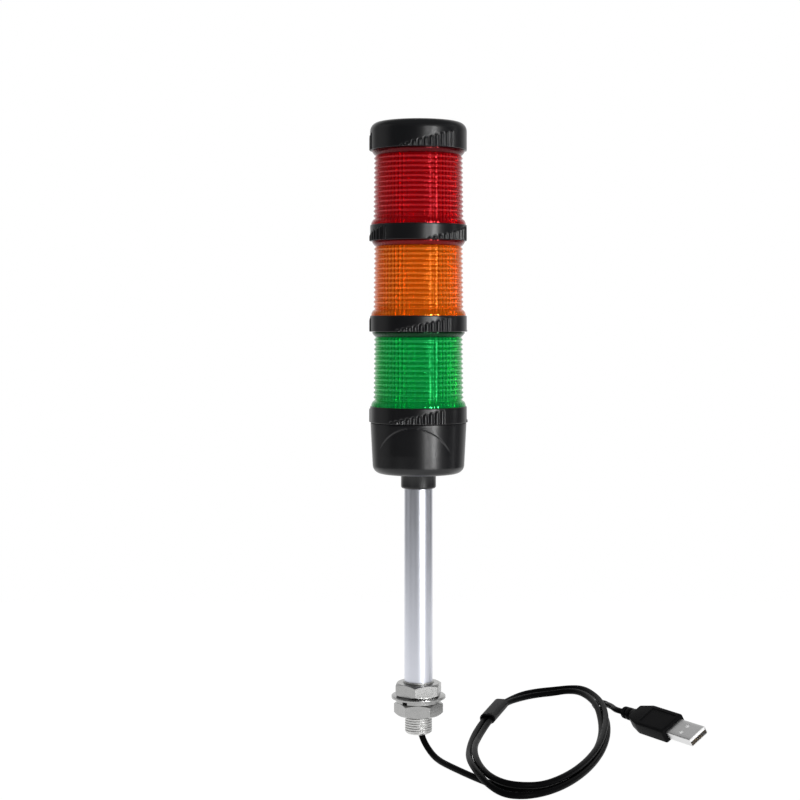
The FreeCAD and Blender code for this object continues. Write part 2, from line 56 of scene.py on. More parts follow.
# one socket of a node tree, so that sums and products of values can be written as such
class Field:
    def __init__(self, shader, socket):
        self.shader = shader
        self.socket = socket

    def calc(self, operation, first, second=None):
        values = {0: first}
        if second is not None:
            values[1] = second
        return self.shader.node("ShaderNodeMath", {"operation": operation}, values)

    def __add__(self, other):
        return self.calc("ADD", self, other)

    def __radd__(self, other):
        return self.calc("ADD", other, self)

    def __sub__(self, other):
        return self.calc("SUBTRACT", self, other)

    def __rsub__(self, other):
        return self.calc("SUBTRACT", other, self)

    def __mul__(self, other):
        return self.calc("MULTIPLY", self, other)

    def __rmul__(self, other):
        return self.calc("MULTIPLY", other, self)

    def __truediv__(self, other):
        return self.calc("DIVIDE", self, other)

    def clamp(self):
        return self.shader.node("ShaderNodeClamp", {}, {"Value": self})


class Shader:
    def __init__(self, tree):
        self.tree = tree
        tree.nodes.clear()

    # settings such as an operation or a ramp's stops go in first, then the values or links of the sockets
    def node(self, kind, settings=None, inputs=None, output=0):
        made = self.tree.nodes.new(kind)
        for key, value in (settings or {}).items():
            if key == "stops":
                ramp = made.color_ramp
                while len(ramp.elements) < len(value):
                    ramp.elements.new(0.5)
                for element, (place, shade) in zip(ramp.elements, value):
                    element.position = place
                    element.color = (*shade, 1.0)
            else:
                setattr(made, key, value)
        for key, value in (inputs or {}).items():
            socket = made.inputs[key]
            if isinstance(value, Field):
                self.tree.links.new(value.socket, socket)
            else:
                socket.default_value = value
        return Field(self, made.outputs[output])

    def place(self):
        return self.node("ShaderNodeTexCoord", output="Object")

    def axis(self, letter, where=None):
        return self.node("ShaderNodeSeparateXYZ", {}, {"Vector": where or self.place()}, letter)

    def noise(self, scale, detail=2.0, where=None, stretch=None):
        where = where or self.place()
        if stretch:
            where = self.node("ShaderNodeMapping", {}, {"Vector": where, "Scale": stretch})
        return self.node("ShaderNodeTexNoise", {}, {"Vector": where, "Scale": scale, "Detail": detail})

    def blend(self, amount, first, second):
        return self.node("ShaderNodeMix", {"data_type": "RGBA"}, {0: amount, 6: first, 7: second}, output=2)

    def bump(self, height, strength, distance):
        return self.node("ShaderNodeBump", {}, {
            "Height": height, "Strength": strength, "Distance": distance,
        })

    def finish(self, surface, target="ShaderNodeOutputMaterial"):
        out = self.tree.nodes.new(target)
        self.tree.links.new(surface.socket, out.inputs["Surface"])


def grey(value):
    return (value, value, value, 1.0)


def newMaterial(name):
    material = bpy.data.materials.new(name)
    material.use_nodes = True
    return material, Shader(material.node_tree)


# materials
mouldingLook = {
    "dark": (0.0032, 0.0033, 0.0040, 1.0), "light": (0.0046, 0.0047, 0.0058, 1.0),
    "roughness": 0.31, "spread": 0.06, "specular": 0.5, "grain": 1700.0, "patch": 55.0,
}


def mouldingMaterial(name, look):
    material, shader = newMaterial(name)
    grain = shader.noise(look["grain"], 3.0)
    patch = shader.noise(look["patch"], 2.0)
    surface = shader.node("ShaderNodeBsdfPrincipled", {}, {
        "Base Color": shader.blend(patch, look["dark"], look["light"]),
        "Roughness": patch * look["spread"] + (look["roughness"] - look["spread"] / 2),
        "Specular IOR Level": look["specular"],
        "Normal": shader.bump(grain, 0.12, 0.00008),
    })
    shader.finish(surface)
    return material


blackMoulding = mouldingMaterial("blackMoulding", mouldingLook)
plugMoulding = mouldingMaterial("plugMoulding", {
    "dark": (0.004, 0.004, 0.0045, 1.0), "light": (0.007, 0.007, 0.0075, 1.0),
    "roughness": 0.42, "spread": 0.08, "specular": 0.03, "grain": 2600.0, "patch": 120.0,
})
sealRubber = mouldingMaterial("sealRubber", {
    "dark": (0.006, 0.006, 0.006, 1.0), "light": (0.012, 0.012, 0.012, 1.0),
    "roughness": 0.75, "spread": 0.1, "specular": 0.3, "grain": 2200.0, "patch": 150.0,
})

# rim is the colour painted into the top band of each lens: painted shade, partly the deeper tint of the
# thicker plastic; the amber lens's rim is painted dark red like the red lens above it
lensLooks = {
    "red": {
        "tint": (0.66, 0.0008, 0.010, 1.0), "deep": (0.42, 0.0006, 0.006, 1.0),
        "rim": (0.16, 0.0004, 0.003, 1.0),
    },
    "amber": {
        "tint": (0.96, 0.25, 0.003, 1.0), "deep": (0.84, 0.19, 0.002, 1.0),
        "rim": (0.30, 0.003, 0.004, 1.0),
    },
    "green": {
        "tint": (0.004, 0.62, 0.14, 1.0), "deep": (0.002, 0.48, 0.09, 1.0),
        "rim": (0.0006, 0.07, 0.018, 1.0),
    },
}
lensFinish = {
    "roughness": 0.07, "spread": 0.03, "ior": 1.30, "transmission": 0.80, "specular": 0.3, "metallic": 0.26,
    "paintedShadeHeight": 3.0, "paintedShadeEdge": 0.5, "flutes": 60, "fluteHeight": 0.000035,
    "cloud": 38.0, "cloudShare": 0.5, "haze": 900.0, "hazeBump": 0.1,
}


def lensMaterial(colour):
    look = lensLooks[colour]
    material, shader = newMaterial(colour + "LensPlastic")
    cloud = shader.noise(lensFinish["cloud"], 2.0)
    haze = shader.noise(lensFinish["haze"], 2.0)
    # near its top each lens turns to its darker rim colour: partly the deeper tint of the thicker solid
    # plastic there, partly painted shade from the dark inside
    paintedShadeLow = levels[colour] + modulePitch - lensFinish["paintedShadeHeight"]
    paintedShadeBand = ((shader.axis("Z") / mm - paintedShadeLow) / lensFinish["paintedShadeEdge"]).clamp()
    plain = shader.blend(cloud * lensFinish["cloudShare"], look["tint"], look["deep"])
    x = shader.axis("X")
    y = shader.axis("Y")
    flute = y.calc("SINE", y.calc("ARCTAN2", y, x) * lensFinish["flutes"])
    surface = shader.node("ShaderNodeBsdfPrincipled", {}, {
        "Base Color": shader.blend(paintedShadeBand, plain, look["rim"]),
        "Roughness": haze * lensFinish["spread"] + lensFinish["roughness"],
        "IOR": lensFinish["ior"],
        "Transmission Weight": lensFinish["transmission"],
        "Specular IOR Level": lensFinish["specular"],
        "Metallic": lensFinish["metallic"],
        "Normal": shader.bump(flute + haze * lensFinish["hazeBump"], 1.0, lensFinish["fluteHeight"]),
    })
    shader.finish(surface)
    return material


lensPlastic = {colour: lensMaterial(colour) for colour in lensLooks}


def plainMaterial(name, first, second, roughness, scale, metallic=0.0, specular=0.5, bump=0.05, coat=0.0):
    material, shader = newMaterial(name)
    patch = shader.noise(scale, 3.0)
    fine = shader.noise(scale * 12, 2.0)
    surface = shader.node("ShaderNodeBsdfPrincipled", {}, {
        "Base Color": shader.blend(patch, first, second),
        "Roughness": patch * 0.1 + (roughness - 0.05),
        "Metallic": metallic,
        "Specular IOR Level": specular,
        "Coat Weight": coat,
        "Coat Roughness": 0.1,
        "Normal": shader.bump(fine, bump, 0.00005),
    })
    shader.finish(surface)
    return material


whitePlastic = plainMaterial("whitePlastic", grey(0.78), grey(0.84), 0.45, 90.0)
goldPlate = plainMaterial("goldPlate", (0.80, 0.55, 0.22, 1.0), (0.88, 0.64, 0.30, 1.0), 0.3, 400.0,
                          metallic=1.0)
circuitBoard = plainMaterial("circuitBoard", (0.01, 0.09, 0.035, 1.0), (0.02, 0.14, 0.06, 1.0), 0.35, 160.0)
ledPhosphor = plainMaterial("ledPhosphor", (0.85, 0.66, 0.14, 1.0), (0.90, 0.74, 0.22, 1.0), 0.35, 700.0,
                            coat=0.5)

metalLooks = {
    "poleMetal": {
        "first": (0.70, 0.72, 0.79, 1.0), "second": (0.77, 0.79, 0.86, 1.0),
        "roughness": 0.34, "streaks": (900.0, 900.0, 25.0), "bump": 0.06,
    },
    "nickelPlate": {
        "first": (0.36, 0.36, 0.355, 1.0), "second": (0.46, 0.46, 0.455, 1.0),
        "roughness": 0.27, "streaks": (500.0, 500.0, 500.0), "bump": 0.16,
    },
    "threadNickel": {
        "first": (0.66, 0.66, 0.65, 1.0), "second": (0.76, 0.76, 0.75, 1.0),
        "roughness": 0.46, "streaks": (500.0, 500.0, 500.0), "bump": 0.10,
    },
    "shellSteel": {
        "first": (0.70, 0.70, 0.70, 1.0), "second": (0.76, 0.76, 0.76, 1.0),
        "roughness": 0.34, "streaks": (60.0, 60.0, 900.0), "bump": 0.05,
    },
}


def metalMaterial(name):
    look = metalLooks[name]
    material, shader = newMaterial(name)
    drawn = shader.noise(1.0, 3.0, stretch=look["streaks"])
    spots = shader.noise(420.0, 3.0)
    surface = shader.node("ShaderNodeBsdfPrincipled", {}, {
        "Base Color": shader.blend(drawn, look["first"], look["second"]),
        "Roughness": drawn * 0.08 + spots * 0.06 + (look["roughness"] - 0.07),
        "Metallic": 1.0,
        "Normal": shader.bump(drawn, look["bump"], 0.00004),
    })
    shader.finish(surface)
    return material


poleMetal = metalMaterial("poleMetal")
nickelPlate = metalMaterial("nickelPlate")
threadNickel = metalMaterial("threadNickel")
shellSteel = metalMaterial("shellSteel")

jacketLook = {
    "dark": (0.0016, 0.0016, 0.0018, 1.0), "light": (0.0032, 0.0032, 0.0036, 1.0),
    "roughness": 0.36, "spread": 0.08, "specular": 0.018, "patch": 120.0, "pebbles": 2400.0, "bump": 0.06,
}


def cableMaterial():
    look = jacketLook
    material, shader = newMaterial("cableJacket")
    patch = shader.noise(look["patch"], 2.0)
    pebbles = shader.noise(look["pebbles"], 2.0)
    surface = shader.node("ShaderNodeBsdfPrincipled", {}, {
        "Base Color": shader.blend(patch, look["dark"], look["light"]),
        "Roughness": patch * look["spread"] + look["roughness"],
        "Specular IOR Level": look["specular"],
        "Normal": shader.bump(pebbles, look["bump"], 0.00006),
    })
    shader.finish(surface)
    return material


cableJacket = cableMaterial()
print("materials made")


# shared mesh steps; lengths in millimetres until the piece is finished
def newPiece(name, bm, body, material, replaces=(), sharpAngle=32.0):
    bmesh.ops.scale(bm, vec=(mm, mm, mm), verts=bm.verts)
    mesh = bpy.data.meshes.new(name)
    bm.to_mesh(mesh)
    bm.free()
    mesh.shade_smooth()
    mesh.set_sharp_from_angle(angle=math.radians(sharpAngle))
    piece = bpy.data.objects.new(name, mesh)
    bpy.context.scene.collection.objects.link(piece)
    mesh.materials.append(material)
    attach(piece, body)
    if replaces:
        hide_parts(*replaces)
    return piece


# the outline is spun through one sector, which is then copied round, because one long spin is slow
def turnedShell(bm, outline, steps, sectors=8):
    verts = [bm.verts.new((r, 0.0, z)) for r, z in outline]
    edges = [bm.edges.new(pair) for pair in zip(verts, verts[1:] + verts[:1])]
    bmesh.ops.spin(bm, geom=verts + edges, cent=(0, 0, 0), axis=(0, 0, 1), angle=2 * math.pi / sectors,
                   steps=steps // sectors, use_merge=False)
    sector = bm.verts[:] + bm.edges[:] + bm.faces[:]
    for k in range(1, sectors):
        made = bmesh.ops.duplicate(bm, geom=sector)["geom"]
        turn = Matrix.Rotation(2 * math.pi * k / sectors, 3, "Z")
        copied = [part for part in made if isinstance(part, bmesh.types.BMVert)]
        bmesh.ops.rotate(bm, cent=(0, 0, 0), matrix=turn, verts=copied)
    bmesh.ops.remove_doubles(bm, verts=bm.verts, dist=1e-3)


def radiusOf(vert):
    return math.hypot(vert.co.x, vert.co.y)


# grip ribs rise out of the wall, each in a shallow groove, and get shorter along the row
def addGripRibs(bm, look, radius, low, tallest, tallestAt):
    span = 360 / look["groups"]
    half = look["width"] / 2
    for vert in bm.verts:
        reach = radiusOf(vert)
        if reach < radius - look["skin"]:
            continue
        angle = math.degrees(math.atan2(vert.co.y, vert.co.x))
        offset = (tallestAt - 90 - angle + look["pitch"] / 2) % span - look["pitch"] / 2
        k = round(offset / look["pitch"])
        if k >= look["count"]:
            continue
        height = tallest - (tallest - look["lowest"]) * k / (look["count"] - 1)
        across = math.radians(offset - k * look["pitch"]) * radius
        above = max(0.0, vert.co.z - (low + height - half))
        outside = math.hypot(across, above) - half
        rise = look["proud"] * min(1.0, max(0.0, -outside / look["round"])) ** 0.5
        if 0 < outside < look["groove"]:
            rise = -look["sunk"] * math.sin(math.pi * outside / look["groove"])
        scale = (reach + rise) / reach
        vert.co.x *= scale
        vert.co.y *= scale


def addBlock(bm, inner, outer, low, high, start, span, steps=6):
    section = ((inner, low), (outer, low), (outer, high), (inner, high))
    corners = [bm.verts.new((r, 0.0, z)) for r, z in section]
    face = bm.faces.new(corners)
    bmesh.ops.rotate(bm, cent=(0, 0, 0), matrix=Matrix.Rotation(math.radians(start), 3, "Z"), verts=corners)
    bmesh.ops.spin(bm, geom=[face] + list(face.edges) + corners, cent=(0, 0, 0), axis=(0, 0, 1),
                   angle=math.radians(span), steps=steps, use_merge=False)


def outwards(bm):
    bmesh.ops.recalc_face_normals(bm, faces=bm.faces)


# camera, placed and shifted so that the object falls where it does in the photograph
cameraLook = {
    "distance": 850.0, "height": 204.0, "lens": 74.27, "sensor": 36.0, "shiftX": -0.0231, "shiftY": -0.1027,
}
cameraData = bpy.data.cameras.new("camera")
cameraData.lens = cameraLook["lens"]
cameraData.sensor_width = cameraLook["sensor"]
cameraData.shift_x = cameraLook["shiftX"]
cameraData.shift_y = cameraLook["shiftY"]
cameraData.clip_start = 0.05
camera = bpy.data.objects.new("camera", cameraData)
camera.location = (0, -cameraLook["distance"] * mm, cameraLook["height"] * mm)
camera.rotation_euler = (math.radians(90), 0, 0)
bpy.context.scene.collection.objects.link(camera)
bpy.context.scene.camera = camera


# the lead, its loop and its tail, as one cord
cordLook = {"radius": 1.6, "length": 1.312, "roundness": 8, "smoothness": 12}
cordZ = floorZ + cordLook["radius"]
leadPoints = [
    (0.0, 0.0, 9.0),
    (0.0, 0.0, -2.5),
    (1.6, -1.8, -11.2),
    (5.2, -7.0, -16.6),
    (9.0, -15.5, cordZ),
    (14.0, -27.0, cordZ),
    (29.0, -53.0, cordZ),
]
tailPoints = [
    (104.2, 80.0, cordZ),
    (102.9, 89.0, cordZ),
    (101.8, 95.5, cordZ),
    (101.5, 100.3, cordZ),
    (101.5, 103.4, cordZ),
    (103.6, 106.1, cordZ),
    (106.3, 106.1, cordZ),
    (108.5, 103.4, cordZ),
    (108.5, 100.3, cordZ + 0.2),
    (108.3, 96.0, cordZ + 1.1),
    (108.3, 90.0, cordZ + 2.4),
    (109.4, 81.0, cordZ + 3.4),
    (109.6, 72.0, cordZ + 4.4),
    (110.8, 65.4, cordZ + 5.1),
    (113.9, 60.2, floorZ + 7.0),
]
# the loop lies as a tilted oval; share 0 is its innermost strand and 1 its outermost
loopLook = {
    "innerLong": 102.0, "outerLong": 111.2, "innerShort": 31.7, "outerShort": 35.0,
    "innerX": 64.8, "outerX": 65.0, "innerY": 28.3, "outerY": 29.5, "tilt": 80.0,
    "start": 170, "end": 1011, "step": 15,
    "bulge": 4.6, "bulgeFrom": 14, "bulgeTo": 64,
    "shares": ((170, 0.0), (430, 0.0), (470, 0.12), (500, 0.12),
               (550, 0.5), (632, 0.5), (662, 1.0), (1100, 1.0)),
    "humps": ((285, 305, 338, 365, 3.6), (455, 478, 545, 575, 3.7), (540, 560, 660, 700, 2.9),
              (640, 655, 695, 722, 3.7), (835, 848, 866, 885, 3.7)),
}


def loopShare(s):
    rows = loopLook["shares"]
    for (low, first), (high, second) in zip(rows, rows[1:]):
        if s <= high:
            return first + (second - first) * max(0.0, s - low) / (high - low)
    return rows[-1][1]


def loopLift(s):
    lift = 0.0
    for low, full, ease, high, height in loopLook["humps"]:
        if low < s < high:
            lift = max(lift, height * min(1.0, (s - low) / (full - low), (high - s) / (high - ease)))
    return lift


# the two strands that run through the tie are drawn in beside each other along it
tieLook = {
    "x": 42.8, "y": 81.2, "heading": 75.6, "length": 38.0, "width": 8.6, "height": 5.4, "wall": 0.8,
    "full": 18.5, "none": 31.0, "reachesTo": 120, "secondFrom": 540, "spread": 1.05, "sides": 32,
    "endEdge": 0.3, "studAt": 3.2, "studAside": -0.6, "studRadius": 1.5, "studTop": 1.3, "studHeight": 0.4,
}


def drawnIn(x, y, z, s):
    look = tieLook
    if not 0 <= s % 360 < look["reachesTo"]:
        return x, y, z
    heading = math.radians(look["heading"])
    along = (x - look["x"]) * math.cos(heading) + (y - look["y"]) * math.sin(heading)
    aside = (y - look["y"]) * math.cos(heading) - (x - look["x"]) * math.sin(heading)
    weight = min(1.0, max(0.0, (look["none"] - abs(along)) / (look["none"] - look["full"])))
    weight = weight * weight * (3 - 2 * weight)
    side = (-look["spread"] if s < look["secondFrom"] else look["spread"]) * cordLook["radius"]
    aside += (side - aside) * weight
    z += (floorZ + look["height"] / 2 - z) * weight
    return (look["x"] + along * math.cos(heading) - aside * math.sin(heading),
            look["y"] + along * math.sin(heading) + aside * math.cos(heading), z)


def loopPoint(s):
    look = loopLook
    share = loopShare(s)
    grow = 1 / math.cos(math.radians(look["step"] / 2))
    halfLong = look["innerLong"] + (look["outerLong"] - look["innerLong"]) * share
    halfShort = look["innerShort"] + (look["outerShort"] - look["innerShort"]) * share
    along = halfLong * grow * math.cos(math.radians(s))
    across = halfShort * grow * math.sin(math.radians(s))
    tilt = math.radians(look["tilt"])
    x = look["innerX"] + (look["outerX"] - look["innerX"]) * share
    y = look["innerY"] + (look["outerY"] - look["innerY"]) * share
    fullness = min(1.0, max(0.0, (s % 360 - look["bulgeFrom"]) / (look["bulgeTo"] - look["bulgeFrom"])))
    y += look["bulge"] * math.sin(math.pi * fullness) ** 2
    return drawnIn(x + along * math.cos(tilt) - across * math.sin(tilt),
                   y + along * math.sin(tilt) + across * math.cos(tilt), cordZ + loopLift(s), s)


def makeCord():
    points = list(leadPoints)
    for s in range(loopLook["start"], loopLook["end"], loopLook["step"]):
        points.append(loopPoint(s))
    points += tailPoints
    curve = bpy.data.curves.new("cable", "CURVE")
    curve.dimensions = "3D"
    curve.bevel_depth = cordLook["radius"] * mm
    curve.bevel_resolution = cordLook["roundness"]
    curve.resolution_u = cordLook["smoothness"]
    curve.use_fill_caps = True
    spline = curve.splines.new("NURBS")
    spline.points.add(len(points) - 1)
    for point, place in zip(spline.points, points):
        point.co = (place[0] * mm, place[1] * mm, place[2] * mm, 1.0)
    spline.order_u = 3
    spline.use_endpoint_u = True
    cable = bpy.data.objects.new("cable", curve)
    bpy.context.scene.collection.objects.link(cable)
    curve.materials.append(cableJacket)
    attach(cable, "base")
    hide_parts("cable_lead", "cable_coil", "cable_tail")
    return cable


cable = makeCord()
print("cable made")


# lenses
lensShape = {
    "steps": 360, "topRadius": 22.8, "bottomRadius": 23.2, "flangeRadius": 23.9, "flangeHeight": 2.7,
    "skirtRadius": 24.4, "skirtHeight": 3.4, "ribs": 13, "depth": 0.75, "bore": 20.6, "flute": 0.6,
    "lip": 20.3, "topWall": 1.6, "fluteEnd": 1.0, "deckTop": 6.4, "ringHeight": 8.2, "ringBore": 22.5,
    "collar": 20.4, "collarBore": 18.9, "collarTop": 4.9, "gap": 0.2,
    "ribPlaces": ((0.0, 0.0), (0.10, 0.08), (0.20, 0.27), (0.30, 0.54), (0.39, 0.82), (0.46, 0.975),
                  (0.50, 1.0), (0.55, 0.97), (0.63, 0.80), (0.73, 0.52), (0.83, 0.24), (0.92, 0.06)),
    "wave": (0.0, 0.25, 0.75, 1.0, 0.75, 0.25),
}
lugShape = {
    "root": 19.9, "outer": 22.0, "low": 2.6, "high": 4.4, "stopLow": 0.6,
    "start": -104.6, "reach": 24.6, "stop": 4.0,
}
tabShape = {"inner": 20.9, "outer": 23.0, "low": 0.6, "high": 2.4, "start": -100.0, "reach": 20.0}


def addLugs(bm, base):
    look = lugShape
    for k in range(3):
        start = look["start"] + 120 * k
        low = base + look["low"]
        addBlock(bm, look["root"], look["outer"], low, base + look["high"], start, look["reach"])
        addBlock(bm, look["root"], look["outer"], base + look["stopLow"], low, start, look["stop"], 2)


def addTabs(bm, base):
    look = tabShape
    for k in range(3):
        start = look["start"] + 120 * k
        low = base + look["low"]
        addBlock(bm, look["inner"], look["outer"], low, base + look["high"], start, look["reach"])


def makeLens(colour):
    look = lensShape
    base = levels[colour]
    skirt = base + look["ringHeight"]
    top = base + modulePitch - look["gap"]
    low = skirt + look["skirtHeight"]
    high = top - look["flangeHeight"]
    pitch = (high - low) / look["ribs"]
    taper = look["topRadius"] - look["bottomRadius"]
    lid = top - look["topWall"]
    collarTop = top + look["gap"] + look["collarTop"]
    bandRadius = look["skirtRadius"]
    outline = [
        (look["ringBore"] - 0.3, base + look["deckTop"]), (look["ringBore"] - 0.3, skirt + 0.02),
        (bandRadius - 0.25, skirt + 0.02), (bandRadius - 0.05, skirt + 0.12), (bandRadius, skirt + 0.35),
        (bandRadius - 0.1, skirt + 1.0), (bandRadius - 0.3, skirt + 1.6), (bandRadius - 0.75, skirt + 2.4),
        (look["bottomRadius"] - 0.2, skirt + 2.9),
    ]
    for k in range(look["ribs"]):
        for share, height in look["ribPlaces"]:
            crest = look["bottomRadius"] + taper * (k + share) / look["ribs"]
            outline.append((crest - look["depth"] * (1 - height), low + pitch * (k + share)))
    flange = look["flangeRadius"]
    outline += [
        (look["topRadius"] - look["depth"], high), (flange - 0.9, high + 0.9), (flange - 0.45, high + 1.5),
        (flange - 0.12, top - 0.65), (flange, top - 0.3), (flange - 0.06, top - 0.1), (flange - 0.25, top),
        (look["collar"], top), (look["collar"], collarTop),
        (look["collarBore"], collarTop), (look["collarBore"], lid),
        (look["lip"], lid), (look["lip"], lid - look["fluteEnd"]),
        (look["bore"], lid - look["fluteEnd"] - 0.3), (look["bore"], base + look["deckTop"]),
    ]
    bm = bmesh.new()
    turnedShell(bm, outline, look["steps"])
    wave = look["wave"]
    for vert in bm.verts:
        if abs(radiusOf(vert) - look["bore"]) < 0.01:
            step = round(math.atan2(vert.co.y, vert.co.x) / (2 * math.pi) * look["steps"]) % len(wave)
            grow = 1 + wave[step] * look["flute"] / look["bore"]
            vert.co.x *= grow
            vert.co.y *= grow
    addLugs(bm, base + modulePitch)
    outwards(bm)
    return newPiece(colour + "Lens", bm, colour + "_module", lensPlastic[colour],
                    (colour + "_lens",), 40.0)


for colour in lensLooks:
    makeLens(colour)
print("lenses made")


# grip rings, top cap and base housing
ringShape = {
    "rows": 34, "steps": 720, "radius": 24.9, "bore": 22.5, "height": 8.2, "deck": 5.2, "deckTop": 6.4,
    "opening": 10.0, "edge": 0.35, "tallestRib": 7.2,
}
ribShape = {
    "groups": 3, "count": 10, "pitch": 7.0, "width": 1.6, "proud": 0.45, "round": 0.6,
    "groove": 0.6, "sunk": 0.28, "lowest": 1.0, "skin": 0.4,
}
ribPlaces = {"green": 29.0, "amber": 38.0, "red": -44.0, "cap": 43.2}


def makeRing(colour):
    look = ringShape
    base = levels[colour]
    top = base + look["height"]
    edge = look["edge"]
    bm = bmesh.new()
    rows = look["rows"]
    wall = [(look["radius"], base + edge + (top - base - 2 * edge) * k / rows) for k in range(rows + 1)]
    turnedShell(bm, [
        (look["bore"], base), (look["radius"] - edge, base), (look["radius"] - 0.1, base + 0.1),
        *wall, (look["radius"] - 0.1, top - 0.1),
        (look["radius"] - edge, top), (look["bore"], top), (look["bore"], base + look["deckTop"]),
        (look["opening"], base + look["deckTop"]), (look["opening"], base + look["deck"]),
        (look["bore"], base + look["deck"]),
    ], look["steps"])
    addGripRibs(bm, ribShape, look["radius"], base, look["tallestRib"], ribPlaces[colour])
    addTabs(bm, base)
    outwards(bm)
    return newPiece(colour + "Ring", bm, colour + "_module", blackMoulding,
                    (colour + "_ring",), 66.0)


for colour in ("green", "amber", "red"):
    makeRing(colour)


def roundedEdge(centreR, centreZ, size, start, end, steps):
    points = []
    for k in range(steps + 1):
        angle = math.radians(start + (end - start) * k / steps)
        points.append((centreR + size * math.cos(angle), centreZ + size * math.sin(angle)))
    return points


capShape = {
    "rows": 40, "steps": 720, "radius": 24.9, "bore": 22.5, "height": 15.0, "edge": 4.5, "dome": 0.7,
    "wall": 2.0, "foot": 0.35, "tallestRib": 8.6,
}


def makeCap():
    look = capShape
    base = levels["cap"]
    top = base + look["height"]
    shoulder = top - look["edge"] - look["dome"]
    flat = look["radius"] - look["edge"]
    bm = bmesh.new()
    foot = look["foot"]
    rows = look["rows"]
    wall = [(look["radius"], base + foot + (shoulder - base - foot) * k / rows) for k in range(rows)]
    turnedShell(bm, [
        (look["bore"], base), (look["radius"] - foot, base), (look["radius"] - 0.1, base + 0.1), *wall,
    ] + roundedEdge(flat, shoulder, look["edge"], 0, 86, 10) + [
        (flat * 0.75, top - look["dome"] * 0.5), (flat * 0.45, top - look["dome"] * 0.18),
        (flat * 0.15, top - look["dome"] * 0.02), (0.0, top), (0.0, top - look["dome"] - look["wall"]),
        (look["bore"], top - look["dome"] - look["wall"]),
    ], look["steps"])
    addGripRibs(bm, ribShape, look["radius"], base, look["tallestRib"], ribPlaces["cap"])
    addTabs(bm, base)
    outwards(bm)
    return newPiece("topCap", bm, "cap", blackMoulding, ("top_cap",), 66.0)


makeCap()

housingShape = {
    "steps": 720, "neckZ": 116.3, "neckHeight": 7.8, "height": 26.0, "topRadius": 24.7,
    "bottomRadius": 23.6, "corner": 4.5, "neckRadius": 9.0, "neckEdge": 1.2, "wall": 2.4, "rim": 22.3,
    "seat": 2.0, "socket": 10.2, "socketTop": 132.3, "poleBore": 7.3, "poleEnd": 130.3, "threadBore": 5.0,
    "rows": 56, "bosses": 3, "bossAt": 13.5, "bossRadius": 2.9, "bossTurn": 30,
    "archRadius": 23.9, "archWidth": 37.0, "archHeight": 13.4, "archDrop": 1.4, "archAt": -7.5,
    "archEdge": 0.28,
}


# how far inside the arch's outline a place on the front is
def archDepth(x, z):
    look = housingShape
    crown = look["neckZ"] + look["neckHeight"] + look["height"] - look["archDrop"]
    half = look["archWidth"] / 2
    radius = (half * half + look["archHeight"] ** 2) / (2 * look["archHeight"])
    return radius - math.hypot(x, z - (crown - radius))


def makeHousing():
    look = housingShape
    low = look["neckZ"] + look["neckHeight"]
    top = low + look["height"]
    bottom = look["bottomRadius"]
    neck = look["neckRadius"]
    edge = look["neckEdge"]
    outline = [(look["poleBore"], look["neckZ"]), (neck - edge, look["neckZ"])]
    outline += roundedEdge(neck - edge, look["neckZ"] + edge, edge, -60, 0, 4)
    outline += [(neck, low - 0.5), (neck + 0.15, low - 0.15), (neck + 0.5, low)]
    outline += roundedEdge(bottom - look["corner"], low + look["corner"], look["corner"], -90, 0, 14)
    straight = low + look["corner"]
    for k in range(1, look["rows"]):
        share = k / look["rows"]
        radius = bottom + (look["topRadius"] - bottom) * share
        outline.append((radius, straight + (top - 0.3 - straight) * share))
    outline += [
        (look["topRadius"] - 0.05, top - 0.15), (look["topRadius"] - 0.3, top), (look["rim"], top),
        (look["rim"], top - look["seat"]), (look["rim"] - 1.2, top - look["seat"]),
        (bottom - look["wall"], low + look["wall"] + 1.5), (bottom - look["wall"] - 1.5, low + look["wall"]),
        (look["socket"], low + look["wall"]), (look["socket"], look["socketTop"]),
        (look["threadBore"], look["socketTop"]), (look["threadBore"], look["poleEnd"]),
        (look["poleBore"], look["poleEnd"]),
    ]
    bm = bmesh.new()
    turnedShell(bm, outline, look["steps"])
    turn = Matrix.Rotation(math.radians(-look["archAt"]), 3, "Z")
    for vert in bm.verts:
        radius = radiusOf(vert)
        if radius < look["archRadius"] or vert.co.z < straight:
            continue
        place = turn @ vert.co
        if place.y > 0:
            continue
        inside = archDepth(place.x, place.z)
        share = min(1.0, max(0.0, inside / look["archEdge"]))
        share = share * share * (3 - 2 * share)
        scale = (radius - share * (radius - look["archRadius"])) / radius
        vert.co.x *= scale
        vert.co.y *= scale
    floor = low + look["wall"] - 0.1
    seat = top - look["seat"]
    for k in range(look["bosses"]):
        angle = math.radians(360 // look["bosses"] * k + look["bossTurn"])
        x = look["bossAt"] * math.cos(angle)
        y = look["bossAt"] * math.sin(angle)
        bmesh.ops.create_cone(bm, cap_ends=True, segments=32, radius1=look["bossRadius"],
                              radius2=look["bossRadius"], depth=seat - floor,
                              matrix=Matrix.Translation((x, y, (floor + seat) / 2)))
    outwards(bm)
    return newPiece("baseHousing", bm, "base", blackMoulding, ("base_housing",), 34.0)


makeHousing()
print("black mouldings made")


# pole, threaded end, nuts and washers
poleShape = {"radius": 7.25, "wall": 1.0, "low": 17.3, "high": 130.3, "edge": 0.15, "steps": 160}
threadShape = {
    "radius": 7.0, "bore": 5.0, "low": -9.5, "shoulder": 16.4, "pitch": 1.25, "depth": 0.36, "steps": 120,
    "rise": 0.11, "lead": 1.0, "shoulderRadius": 7.6, "end": 27.3, "spigot": 6.2,
}


def makePole():
    look = poleShape
    inner = look["radius"] - look["wall"]
    bm = bmesh.new()
    turnedShell(bm, [
        (inner, look["low"]), (look["radius"] - look["edge"], look["low"]),
        (look["radius"], look["low"] + look["edge"]), (look["radius"], look["high"]), (inner, look["high"]),
    ], look["steps"])
    outwards(bm)
    return newPiece("pole", bm, "base", poleMetal, ("pole",))


